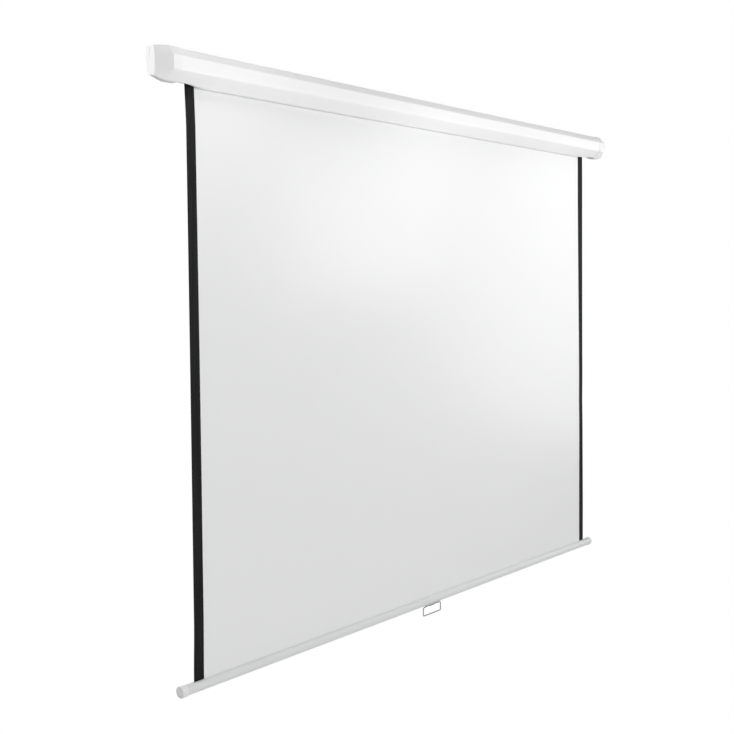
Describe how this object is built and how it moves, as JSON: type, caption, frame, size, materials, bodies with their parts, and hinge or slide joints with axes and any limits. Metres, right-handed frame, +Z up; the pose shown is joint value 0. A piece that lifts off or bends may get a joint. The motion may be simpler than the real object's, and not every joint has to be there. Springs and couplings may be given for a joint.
{
  "type": "projector screen",
  "caption": "Wall-mounted pull-down projector screen: white sheet with black side borders on a spring roller in a faceted case, with a round weight bar and a wire pull handle.",
  "frame": {"origin": "on the flat back of the case, at its middle, level with the roller's axis", "axes": "+X along the case to the viewer's right, +Y into the wall, +Z up"},
  "size_m": [1.953, 0.0675, 1.4414],
  "materials": {
    "painted_steel": "satin white",
    "moulded_plastic": "fine matte white",
    "plated_steel": "zinc plated",
    "spring_steel": "oiled dark",
    "cast_metal": "as cast",
    "roller_aluminium": "mill",
    "white_fabric": "matte white coating",
    "black_fabric": "matte black coating",
    "nylon": "natural",
    "grey_plastic": "matte grey",
    "bright_wire": "bright"
  },
  "bodies": {
    "case": {"case_shell": "painted_steel", "end_cap_left": "moulded_plastic", "end_cap_right": "moulded_plastic", "cap_screw_1": "plated_steel", "cap_screw_2": "plated_steel", "cap_screw_3": "plated_steel", "cap_screw_4": "plated_steel", "side_plate_left": "plated_steel", "side_plate_right": "plated_steel", "idle_pin": "plated_steel", "spring_shaft": "plated_steel", "shaft_collar": "plated_steel", "torsion_spring": "spring_steel", "ratchet_wheel": "cast_metal", "screen_sheet": "white_fabric", "border_left": "black_fabric", "border_right": "black_fabric"},
    "roller": {"roller_tube": "roller_aluminium", "wound_fabric": "white_fabric", "spring_anchor": "nylon", "shaft_bush": "nylon", "pawl_carrier": "cast_metal", "pawl_pin_upper": "plated_steel", "pawl_pin_lower": "plated_steel", "idle_plug": "nylon"},
    "upper_pawl": {"pawl_upper": "plated_steel"},
    "lower_pawl": {"pawl_lower": "plated_steel"},
    "weight_bar": {"bar_tube": "painted_steel", "hem_rod": "nylon", "bar_cap_left": "grey_plastic", "bar_cap_right": "grey_plastic", "handle_clip": "plated_steel", "clip_rivet_left": "plated_steel", "clip_rivet_right": "plated_steel"},
    "handle": {"pull_handle": "bright_wire"}
  },
  "joints": [
    {"name": "bar_retract", "type": "slide", "parent": "case", "child": "weight_bar", "axis": [0, 0, 1], "range_m": [0, 1.3117], "deforming": ["screen_sheet", "border_left", "border_right"]},
    {"name": "roller_spin", "type": "hinge", "parent": "case", "child": "roller", "pos_m": [0, -0.03835, 0], "axis": [1, 0, 0], "range_deg": [0, 4021]},
    {"name": "pawl_upper_swing", "type": "hinge", "parent": "roller", "child": "upper_pawl", "pos_m": [0.9261, -0.04785, 0.008], "axis": [1, 0, 0], "range_deg": [0, 15]},
    {"name": "pawl_lower_swing", "type": "hinge", "parent": "roller", "child": "lower_pawl", "pos_m": [0.9261, -0.02885, -0.008], "axis": [1, 0, 0], "range_deg": [-15, 0]},
    {"name": "handle_swing", "type": "hinge", "parent": "weight_bar", "child": "handle", "pos_m": [0.005, -0.019, -1.3773], "axis": [1, 0, 0], "range_deg": [-90, 90]}
  ],
  "couplings": [
    {"joint": "roller_spin", "follows": "bar_retract", "rad_per_m": 53.476}
  ]
}
